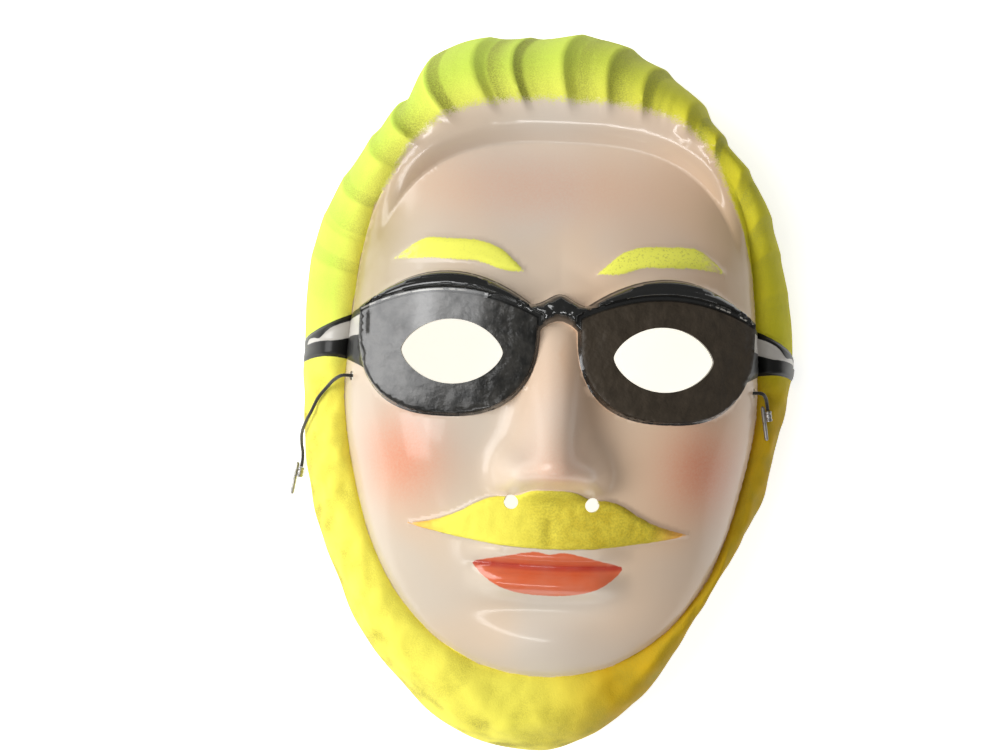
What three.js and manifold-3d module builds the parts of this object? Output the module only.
// A carnival face mask, vacuum formed from one thin plastic sheet, lying on its rim.
// Millimetres, +Z up. X runs across the face, Y from the beard to the hair, Z out through the nose.
import * as THREE from 'three';
import { mergeVertices } from 'three/addons/utils/BufferGeometryUtils.js';
import Module from 'manifold-3d';

// Shell
const wall = 0.8;
const heartY = 12;                    // the loft's centre, on the bridge of the nose
const rim = { side: 87.7, jaw: 87.4, up: 113, down: 140.3, upPower: 1.92, downPower: 2.02, pinch: 0.05 };
const skin = { side: 69, jaw: 71, up: 75, down: 105, upPower: 2.75, downPower: 2.15, pinch: 0 };
const edgeHeight = { side: 24, top: 44, chin: 38 };    // of the skin where hair or beard begins
const hairStep = 8;                   // rise from the forehead to the hair
const ledge = { start: 0.915, slant: 0.46 };    // share of the skin where that rise starts; its even part
const hairCrown = 5;                  // swell of the hair above its own edge
const beardCrown = 3.5;

// Hair locks and beard
const lock = { first: 6, last: 174, mean: 8.9, spread: 2.6, beat: 2.3, height: 2.3, scallop: 0.7 };
const crest = 0.70;                   // share of a lock's width that rises to its crest
const parting = { angle: 122, width: 3.6, depth: 3.2 };
// Where the hand-trimmed sheet is fuller than its egg: angle and width in degrees, then millimetres.
const bulges = [
  [52, 11, -5.8], [85, 8, 2.7], [114, 11, 9.0], [153, 19, 5.2], [226, 29, 7.5], [301, 18, -10], [341, 8, -3],
];
const beardLump = 1.0;

// Face
const front = 58;                     // height of the cheeks' plane
const frontBend = 0.0011;
const eyeLine = 12;
const nose = { root: 26, tip: -20, base: -32, low: 2.5, high: 19.5, half: 7, ball: 4, wing: 12 };
const mouth = { y: -54, half: 25, upper: 2.8, lower: 3.8, cut: 2.2 };
const moustache = {
  half: 46, top: -33, middle: 4.6, swell: 2.2, droop: 9.7, bottom: -47.8, lift: 5, height: 2.4,
};

// Glasses; the heights of their outlines are measured from the eye line
const lens = { x: 35, halfWidth: 29.4, top: 19.5, corner: 12, widest: 8, bottom: -20.3, power: 2.5 };
const bar = { top: 25.3, corner: 13.5, height: 2.4 };
const plate = { height: 63, bend: 0.0035 };
const bridge = { top: 15.5, peak: 3.7, arch: 10.4, bend: 0.09, reach: 12 };
const arm = { from: 59.4, to: 89, top: [28.5, 14.8], bottom: [4.5, 6.3], arch: 3.6, height: 1.8 };
const bevel = 1.4;                    // plan width of a moulded step

// Openings and cord
const eyeHole = { x: 33, width: 32, height: 20, fullness: 0.66 };
const nostril = { x: 12.5, y: -33.5, diameter: 4.4 };
const cordHole = { x: 67, y: 3, diameter: 3.2, length: 12 };
const cord = { diameter: 1.2, sides: 8, steps: 66 };
const barb = { length: 11.5, diameter: 1.3, sleeve: 2.4, sleeveLength: 3.4, sleeveStart: 1.6, offset: 1.5 };
const gap = 0.3;                      // between pieces that touch

// Mesh density
const skinPoints = 930;
const beardSpokes = 31;
const armSpokes = [4.6, 3.2, 1.8, -2.4, -3.6];   // degrees, across the arms
const hairRings = [0, 0.09, 0.22, 0.38, 0.56, 0.74, 0.88, 0.97, 1];

const degree = Math.PI / 180;
const { abs, cos, hypot, max, min, sin } = Math;
const clamp = THREE.MathUtils.clamp;
const hump = (t) => Math.exp(-t * t);
const rise = (from, to, t) => {
  const u = clamp((t - from) / (to - from), 0, 1);
  return u * u * (3 - 2 * u);
};

// Plan outlines

function egg(angle, size) {
  const s = sin(angle), c = cos(angle), k = rise(-0.35, 0.35, s);
  const power = size.downPower + (size.upPower - size.downPower) * k;
  const across = size.jaw + (size.side - size.jaw) * k;
  const along = s > 0 ? size.up : size.down;
  const pinch = 1 - size.pinch * sin(2 * angle) ** 2 * rise(0.1, -0.8, s);
  return pinch * (abs(c / across) ** power + abs(s / along) ** power) ** (-1 / power);
}

const lockEdges = [lock.first];
for (let i = 0; lockEdges.at(-1) < lock.last; i++) {
  lockEdges.push(lockEdges.at(-1) + lock.mean + lock.spread * sin(lock.beat * i));
}

// How far a lock's line has swung at share w of the way from the hairline to the rim.
const swing = (w) => 3.2 * sin(Math.PI * w) - 4.5 * w * w;

// Height of the locks at an angle in degrees: each rises to a crest, then falls away steeply.
function lockWave(angle) {
  const i = lockEdges.findIndex((edge, n) => angle >= edge && angle < lockEdges[n + 1]);
  if (i < 0 || i > lockEdges.length - 2) return 0;
  const width = lockEdges[i + 1] - lockEdges[i];
  const v = 1 - (angle - lockEdges[i]) / width;
  const t = v < crest ? v / crest : (1 - v) / (1 - crest);
  const shape = v < crest ? t * t * (1.6 - 0.6 * t) : t ** 1.7;
  const ends = rise(lock.first, 20, angle) * rise(lock.last, 160, angle);
  const side = 0.35 + 0.65 * rise(18, 62, angle) * rise(162, 118, angle);
  return (shape - 0.4) * Math.sqrt(width / lock.mean) * ends * side;
}

const fullness = (angle) => bulges.reduce((sum, [at, width, depth]) => (
  sum + depth * hump((((angle - at + 540) % 360) - 180) / width)), 0);
const notch = (angle) => -parting.depth * hump((angle - parting.angle) / parting.width);

function lumps(angle, w) {
  return beardLump * (0.6 * sin(angle * 17 + 4 * w) * sin(5.5 * w + 3 * angle)
    + 0.4 * sin(angle * 29 - 6 * w + 1) * cos(7 * w - angle * 8));
}

// Heights

function faceForm(x, y) {
  const ax = abs(x);
  let z = 3.0 * hump((ax - 30) / 22) * hump((y - 38) / 11);
  z += 4.5 * hump((ax - 43) / 19) * hump((y + 20) / 18);
  z -= 2.0 * hump((ax - 58) / 12) * hump((y - 55) / 20);
  z += 4.0 * hump(x / 30) * hump((y + 50) / 20);
  z -= 2.6 * hump(x / 20) * hump((y + 69) / 5);
  z += 5.5 * hump(x / 18) * hump((y + 82) / 10);
  const t = clamp((nose.root - y) / (nose.root - nose.tip), 0, 1);
  const under = rise(nose.base - 3, nose.tip - 2, y);
  const ridge = (nose.low + (nose.high - nose.low) * t ** 1.2) * rise(nose.root + 8, nose.root - 10, y);
  z += ridge * under * hump((ax / (nose.half + 3.8 * t)) ** 1.2);
  z += nose.ball * under ** 0.7 * hump(hypot(ax, y - nose.tip + 1) / 9.5);
  z += 9 * hump((ax - nose.wing) / 5.6) * hump((y + 24) / 6.6) * rise(nose.base - 3, nose.base + 4, y);
  return z;
}

function lipForm(x, y) {
  const line = mouth.y + 0.6 * (x / mouth.half) ** 2;
  const reach = rise(mouth.half + 3, mouth.half - 11, abs(x));
  return reach * (mouth.lower * hump((y - line + 5.6) / 4.6) + mouth.upper * hump((y - line - 4.4) / 3.8)
    - mouth.cut * hump((y - line) / 1.7));
}

const moustacheTop = (x) => moustache.top + moustache.middle * hump((x / 10) ** 2)
  + moustache.swell * hump((abs(x) - 19) / 8) - moustache.droop * rise(0.2, 1.05, abs(x) / moustache.half);
const moustacheBottom = (x) => moustache.bottom + moustache.lift * (x / moustache.half) ** 2;
const inMoustache = (x, y) => (abs(x) > moustache.half ? -9
  : min(moustacheTop(x) - y, y - moustacheBottom(x)));

// The sides and the rounded bottom of one lens.
function inBowl(x, y) {
  const u = abs(abs(x) - lens.x) / lens.halfWidth;
  const v = max(lens.widest - (y - eyeLine), 0) / (lens.widest - lens.bottom);
  return (1 - (u ** lens.power + v ** lens.power) ** (1 / lens.power)) * lens.halfWidth;
}

// Depth below an arc over one lens, which falls from its top to both corners.
function underArc(x, y, { top, corner }) {
  const u = (abs(x) - lens.x) / lens.halfWidth;
  return (top - (top - corner) * u * u - (y - eyeLine)) / hypot(1, (2 * (top - corner) * u) / lens.halfWidth);
}

const inLens = (x, y) => min(inBowl(x, y), underArc(x, y, lens));
const inBar = (x, y) => min(y - eyeLine - lens.widest, inBowl(x, y), underArc(x, y, bar));
const bridgeTop = (x) => eyeLine + bridge.top + bridge.peak * hump(x / 5);
const bridgeArch = (x) => eyeLine + bridge.arch - bridge.bend * x * x;
const inBridge = (x, y) => min(bridgeTop(x) - y, y - bridgeArch(x), bridge.reach - abs(x));
const inGlasses = (x, y) => max(inLens(x, y), inBar(x, y), inBridge(x, y));

// Lower and upper edge of an arm of the glasses.
function armEdges(x) {
  const t = clamp((abs(x) - arm.from) / (arm.to - arm.from), 0, 1);
  return [arm.bottom[0] + (arm.bottom[1] - arm.bottom[0]) * t + arm.arch * sin(Math.PI * t),
    arm.top[0] + (arm.top[1] - arm.top[0]) * t];
}

function inArm(x, y) {
  const [low, high] = armEdges(x);
  return min(y - low, high - y, abs(x) - arm.from);
}

const plateHeight = (x) => plate.height - plate.bend * x * x;

const edgeAt = (angle) => edgeHeight.side + (edgeHeight.top - edgeHeight.side) * rise(0.3, 0.95, sin(angle))
  + (edgeHeight.chin - edgeHeight.side) * rise(0.5, 1, -sin(angle));
const topness = (angle) => rise(0.45, 0.85, sin(angle));
const stepAt = (angle) => hairStep * topness(angle);

// The ledge under the hair: a crisp fold in the forehead, rounding over to the hairline.
function ledgeShare(q) {
  const u = clamp((q - ledge.start) / (1 - ledge.start), 0, 1);
  return ledge.slant * u + (1 - ledge.slant) * (2 * u - u * u);
}

function skinHeight(x, y) {
  const angle = Math.atan2(y - heartY, x);
  const q = clamp(hypot(x, y - heartY) / egg(angle, skin), 0, 1);
  const edge = edgeAt(angle);
  const plane = front - frontBend * (y + 10) ** 2;
  const fall = (1 - q ** 3) ** (0.62 + 0.38 * topness(angle));
  let z = edge + (plane - edge + faceForm(x, y)) * fall + lipForm(x, y);
  z += stepAt(angle) * ledgeShare(q);
  z += moustache.height * rise(-0.3, bevel, inMoustache(x, y));
  z += arm.height * rise(0, bevel, inArm(x, y));
  z += (max(plateHeight(x), z + 1.6) - z) * rise(0, bevel, inGlasses(x, y));
  z += bar.height * rise(0, bevel, -inLens(x, y)) * rise(-1, 4, max(inBar(x, y), inBridge(x, y)));
  return z;
}

// A point of the hair or beard, at an angle and at share w of the way from the skin to the rim.
function hairPoint(angle, w) {
  const turned = angle + swing(w) * degree * rise(0.1, 0.9, sin(angle));
  const inner = egg(turned, skin), around = (angle / degree + 360) % 360, over = around < 180;
  const scallop = (lock.scallop * lockWave(around) + notch(around)) * w;
  const wavy = over ? scallop : 0.8 * lumps(angle, w) * w;
  const r = inner + w * (egg(turned, rim) + fullness(around) + wavy - inner);
  const crown = beardCrown + (hairCrown - beardCrown) * rise(0.2, 0.8, sin(angle));
  let z = (edgeAt(turned) + stepAt(turned)) * (1 - w ** 2.3) ** 0.6;
  z += crown * sin(Math.PI * w ** (0.7 + 0.3 * topness(turned)));
  const inland = rise(0, 0.22, w) * rise(1, 0.75, w);
  z += inland * (over ? lock.height * lockWave(around) + 0.8 * notch(around) : lumps(angle, w));
  const x = r * cos(turned), y = heartY + r * sin(turned);
  z += arm.height * rise(0, bevel, inArm(x, y)) * rise(1, 0.9, w);
  return new THREE.Vector3(x, y, w === 1 ? 0 : z);
}

// Plan triangulation of the skin, refined where the surface bends most

class PlanMesh {
  constructor(height) {
    this.height = height;
    this.points = [[-1e5, -1e5], [1e5, -1e5], [0, 1e5]];
    this.triangles = [this.triangle(0, 1, 2)];
  }

  triangle(a, b, c) {
    const [p, q, r] = [a, b, c].map((i) => this.points[i]);
    const bx = q[0] - p[0], by = q[1] - p[1], cx = r[0] - p[0], cy = r[1] - p[1];
    const d = 2 * (bx * cy - by * cx), b2 = bx * bx + by * by, c2 = cx * cx + cy * cy;
    const ux = (cy * b2 - by * c2) / d, uy = (bx * c2 - cx * b2) / d;
    const face = { corners: [a, b, c], x: p[0] + ux, y: p[1] + uy, radius: hypot(ux, uy), error: 0 };
    if (min(a, b, c) > 2 && d > 7) this.measure(face, [p, q, r], d);
    return face;
  }

  // The largest distance from the flat face to the real surface, and where it is.
  measure(face, corners, d) {
    const z = corners.map(([x, y]) => this.height(x, y));
    const ux = corners[1][0] - corners[0][0], uy = corners[1][1] - corners[0][1];
    const vx = corners[2][0] - corners[0][0], vy = corners[2][1] - corners[0][1];
    const gx = 2 * ((z[1] - z[0]) * vy - (z[2] - z[0]) * uy) / d;
    const gy = 2 * ((z[2] - z[0]) * ux - (z[1] - z[0]) * vx) / d;
    const tilt = 1 / hypot(1, gx, gy);
    for (const [i, j, k] of [[1, 1, 1], [3, 1, 1], [1, 3, 1], [1, 1, 3]]) {
      const share = [i, j, k].map((n) => n / (i + j + k));
      const at = (n) => share.reduce((sum, s, m) => sum + s * corners[m][n], 0);
      const flat = share.reduce((sum, s, m) => sum + s * z[m], 0);
      const error = abs(this.height(at(0), at(1)) - flat) * tilt;
      if (error > face.error) Object.assign(face, { error, spot: [at(0), at(1)] });
    }
  }

  insert(x, y) {
    const index = this.points.push([x, y]) - 1, open = new Map();
    this.triangles = this.triangles.filter((face) => {
      if (hypot(x - face.x, y - face.y) >= face.radius * (1 - 1e-10)) return true;
      face.corners.forEach((a, k) => {
        const b = face.corners[(k + 1) % 3];
        if (!open.delete(`${b},${a}`)) open.set(`${a},${b}`, [a, b]);
      });
      return false;
    });
    for (const [a, b] of open.values()) this.triangles.push(this.triangle(a, b, index));
  }

  near(x, y, gap) {
    return this.points.some(([px, py]) => hypot(px - x, py - y) < gap);
  }

  // A point and its mirror image across the middle of the face.
  pair(x, y, gap) {
    const side = abs(x) < gap / 2 ? [0] : [x, -x];
    if (!this.near(side[0], y, gap)) side.forEach((sx) => this.insert(sx, y));
  }
}

// Points along the line where a plan shape reaches the given depth, seen from its centre.
function contour(shape, depth, centre, count, from = 0, to = 360) {
  return Array.from({ length: count }, (_, n) => {
    const angle = (from + (to - from) * (n / (to - from === 360 ? count : count - 1))) * degree;
    let near = 0, far = 60;
    for (let i = 0; i < 24; i++) {
      const r = (near + far) / 2;
      if (shape(centre[0] + r * cos(angle), centre[1] + r * sin(angle)) > depth) near = r; else far = r;
    }
    return [centre[0] + near * cos(angle), centre[1] + near * sin(angle)];
  });
}

// Points along the edges of the glasses, moustache, lips and hairline, each with its least spacing.
function featurePoints() {
  const list = [];
  const eye = [lens.x, eyeLine];
  for (const depth of [0, bevel]) {
    for (const point of contour(inLens, depth, eye, 40)) list.push([...point, 1]);
    for (const point of contour(inLens, -depth, eye, 15, 20, 160)) list.push([...point, 1]);
    for (const point of contour(inBar, depth, [lens.x, eyeLine + 12], 21, 0, 180)) list.push([...point, 1]);
    for (const x of [0, 2.5, 5, 7.5]) list.push([x, bridgeTop(x) - depth, 1], [x, bridgeArch(x) + depth, 1]);
  }
  for (let i = 0; i <= 10; i++) {
    const x = 0.985 * moustache.half * (1 - (1 - i / 10) ** 1.2);
    for (const inset of [-0.3, bevel]) {
      list.push([x, moustacheTop(x) - inset, 1], [x, moustacheBottom(x) + inset, 1]);
    }
  }
  for (let i = 0; i <= 7; i++) {
    const x = (mouth.half * i) / 7;
    for (const dy of [4.4, 1.6, 0, -1.6, -5.6]) list.push([x, mouth.y + 0.6 * (i / 7) ** 2 + dy, 1]);
  }
  for (const x of [62.5, 66]) {
    const [low, high] = armEdges(x);
    for (const y of [low, low + bevel, high - bevel, high]) list.push([x, y, 1]);
  }
  for (let angle = 15 * degree; angle < 91 * degree; angle += 5 * degree) {
    for (const q of [0.91, 0.93, 0.965]) {
      const r = egg(angle, skin) * q;
      list.push([r * cos(angle), heartY + r * sin(angle), 1.5]);
    }
  }
  return list;
}

function buildSkin(edge) {
  const mesh = new PlanMesh(skinHeight);
  for (const p of edge) mesh.insert(p.x, p.y);
  for (const point of featurePoints()) mesh.pair(...point);
  while (mesh.points.length < skinPoints) {
    const worst = mesh.triangles.reduce((a, b) => (b.error > a.error ? b : a));
    if (worst.error < 0.02) break;
    const before = mesh.points.length;
    mesh.pair(...worst.spot, 1.2);
    if (mesh.points.length === before) worst.error = 0;
  }
  const last = edge.length + 2;
  const inside = ({ corners: [a, b, c] }) => min(a, b, c) > 2
    && (max(a, b, c) > last || (b - a) * (c - b) * (a - c) < 0);
  const points = mesh.points.slice(3)
    .map(([x, y], i) => edge[i] ?? new THREE.Vector3(x, y, skinHeight(x, y)));
  return { points, faces: mesh.triangles.filter(inside).map(({ corners }) => corners.map((i) => i - 3)) };
}

function spokes() {
  const angles = [];
  for (let i = 0; i + 1 < lockEdges.length; i++) {
    const width = lockEdges[i + 1] - lockEdges[i];
    for (const v of [0.99, 0.86, crest, 0.38]) angles.push(lockEdges[i] + (1 - v) * width);
  }
  for (const angle of armSpokes) angles.push(angle, 180 - angle);
  const first = armSpokes.at(-1) - 4;
  for (let i = 0; i <= beardSpokes; i++) angles.push(first - (180 + 2 * first) * (i / beardSpokes));
  angles.sort((a, b) => a - b);
  return angles.map((angle) => angle * degree);
}

function buildShell() {
  const angles = spokes(), count = angles.length;
  const rings = hairRings.map((w) => angles.map((angle) => hairPoint(angle, w)));
  const { points, faces } = buildSkin(rings[0]);
  let inner = 0;
  for (const ring of rings.slice(1)) {
    const outer = points.push(...ring) - count;
    for (let i = 0; i < count; i++) {
      const j = (i + 1) % count;
      faces.push([inner + i, outer + i, outer + j], [inner + i, outer + j, inner + j]);
    }
    inner = outer;
  }
  const normals = points.map(() => new THREE.Vector3());
  for (const [a, b, c] of faces) {
    const u = points[b].clone().sub(points[a]), v = points[c].clone().sub(points[a]);
    const n = u.cross(v);
    [a, b, c].forEach((i) => normals[i].add(n));
  }
  const back = points.map((p, i) => {
    const n = normals[i];
    if (i >= inner) n.z = 0;
    return p.clone().addScaledVector(n.normalize(), -wall);
  });
  const size = points.length;
  const closed = [...faces, ...faces.map(([a, b, c]) => [a + size, c + size, b + size])];
  for (let i = 0; i < count; i++) {
    const a = inner + i, b = inner + ((i + 1) % count);
    closed.push([a, a + size, b + size], [a, b + size, b]);
  }
  return new Manifold(new Mesh({
    numProp: 3,
    vertProperties: new Float32Array([...points, ...back].flatMap((p) => p.toArray())),
    triVerts: new Uint32Array(closed.flat()),
  }));
}

// Openings, cord and barbs

function almond(centreX) {
  const shape = new THREE.Shape(Array.from({ length: 36 }, (_, n) => {
    const u = cos((n * 10 + 5) * degree), up = n < 18 ? 1 : -1;
    const v = up * (1 - u * u) ** eyeHole.fullness;
    return new THREE.Vector2(centreX + (eyeHole.width / 2) * u, eyeLine + (eyeHole.height / 2) * v);
  }));
  return new THREE.ExtrudeGeometry(shape, { depth: 60, bevelEnabled: false }).translate(0, 0, 30);
}

function rod(from, to, diameter, sides) {
  const way = to.clone().sub(from);
  const turn = new THREE.Quaternion().setFromUnitVectors(new THREE.Vector3(0, 1, 0), way.clone().normalize());
  return new THREE.CylinderGeometry(diameter / 2, diameter / 2, way.length(), sides)
    .applyQuaternion(turn).translate(...from.clone().lerp(to, 0.5).toArray());
}

// Straight out of the skin at a point of the plan.
function skinNormal(x, y) {
  const e = 1.5;
  return new THREE.Vector3(skinHeight(x - e, y) - skinHeight(x + e, y),
    skinHeight(x, y - e) - skinHeight(x, y + e), 2 * e).normalize();
}

function cutters() {
  const list = [];
  for (const side of [-1, 1]) {
    list.push(almond(side * eyeHole.x));
    const nostrilAt = (z) => new THREE.Vector3(side * nostril.x, nostril.y, z);
    list.push(rod(nostrilAt(40), nostrilAt(90), nostril.diameter, 14));
    const x = side * cordHole.x, y = cordHole.y, out = skinNormal(x, y);
    const [from, to] = [-0.5, 0.5].map((share) => new THREE.Vector3(x, y, skinHeight(x, y))
      .addScaledVector(out, share * cordHole.length));
    list.push(rod(from, to, cordHole.diameter, 12));
  }
  return list;
}

const wasm = await Module();
wasm.setup();
const { Manifold, Mesh } = wasm;

function toGeometry(solid) {
  const { vertProperties, triVerts } = solid.getMesh();
  const geometry = new THREE.BufferGeometry();
  geometry.setAttribute('position', new THREE.BufferAttribute(new Float32Array(vertProperties), 3));
  geometry.setIndex(new THREE.BufferAttribute(new Uint32Array(triVerts), 1));
  geometry.computeVertexNormals();
  return geometry;
}

function toSolid(geometry) {
  const bare = new THREE.BufferGeometry().setAttribute('position', geometry.getAttribute('position'));
  if (geometry.index) bare.setIndex(geometry.index);
  const merged = mergeVertices(bare, 1e-4);
  return new Manifold(new Mesh({
    numProp: 3,
    vertProperties: new Float32Array(merged.getAttribute('position').array),
    triVerts: new Uint32Array(merged.index.array),
  }));
}

const shell = cutters().reduce((solid, cutter) => solid.subtract(toSolid(cutter)), buildShell());

// The cord's centre line, from the barb on the right, through the hollow, to the barb on the left.
const route = [
  [72.6, -2.6, 30.6], [72.2, -0.6, 30.9], [71.2, 1.4, 32.9], [69.3, 2.9, 35.2], [67, 3, 34],
  [64.4, 2.9, 32.5], [62, 2.2, 27], [61.3, -2, 17], [61, -10, 7], [59.5, -17, 1.4], [56, -27, 0.9],
  [50, -42, 0.9], [40, -58, 0.9], [25, -70, 0.9], [6, -76, 0.9], [-14, -73, 0.9], [-31, -62, 0.9],
  [-44, -47, 0.9], [-53, -32, 0.9], [-58.5, -19, 1.2], [-61, -11, 6], [-61.4, -2, 17],
  [-62, 2.2, 27], [-64.4, 2.9, 32.5], [-67, 3, 34], [-69.6, 3, 35.4], [-72.6, 1.6, 32.6],
  [-75.8, -1.2, 28.4], [-79, -5, 26.3], [-81.8, -10, 23.2], [-84.8, -14.5, 17.6], [-87, -18.5, 11],
  [-87.9, -22.5, 5.5], [-88, -26, 2.2], [-88.2, -29, 1.3], [-88.5, -31, 1.3],
].map((p) => new THREE.Vector3(...p));

function cordTube() {
  const section = new THREE.Shape(Array.from({ length: cord.sides }, (_, n) => {
    const angle = (n * 2 * Math.PI) / cord.sides;
    return new THREE.Vector2(cos(angle), sin(angle)).multiplyScalar(cord.diameter / 2);
  }));
  const path = new THREE.CatmullRomCurve3(route, false, 'centripetal');
  return new THREE.ExtrudeGeometry(section, { steps: cord.steps, extrudePath: path, bevelEnabled: false });
}

// A slim bar with a crimp beside it, which grips the cord's end; its bar runs the way the cord comes in.
function cordBarb(end, before, side) {
  const along = end.clone().sub(before).normalize();
  const across = side.clone().addScaledVector(along, -side.dot(along)).normalize();
  const turn = new THREE.Matrix4().makeBasis(across, along, across.clone().cross(along));
  const half = barb.length / 2;
  const bar = new THREE.CapsuleGeometry(barb.diameter / 2, barb.length - barb.diameter, 3, 10)
    .translate(-barb.offset, half - barb.sleeveStart, 0);
  const sleeve = new THREE.CylinderGeometry(barb.sleeve / 2, barb.sleeve / 2, barb.sleeveLength, 12)
    .translate(0, barb.sleeveLength / 2, 0);
  const place = end.clone().addScaledVector(along, gap);
  return toGeometry(toSolid(bar).add(toSolid(sleeve))).applyMatrix4(turn.setPosition(place));
}

const finish = (name, color, roughness, metalness) => new THREE.MeshStandardMaterial({
  name, color, roughness, metalness,
});
const materials = {
  plastic: finish('painted_plastic', 0xd2b89c, 0.3, 0),
  elastic: finish('black_elastic', 0x15140f, 0.75, 0),
  steel: finish('plated_steel', 0x9a9a98, 0.35, 1),
};

function named(name, geometry, material) {
  const mesh = new THREE.Mesh(geometry, material);
  mesh.name = name;
  return mesh;
}

const mask = new THREE.Group();
mask.add(
  named('mask_shell', toGeometry(shell), materials.plastic),
  named('elastic_cord', cordTube(), materials.elastic),
  named('right_cord_barb', cordBarb(route[0], route[1], new THREE.Vector3(1, 0, 0.3)), materials.steel),
  named('left_cord_barb', cordBarb(route.at(-1), route.at(-2), new THREE.Vector3(1, 0, 0)), materials.steel),
);
export default mask;
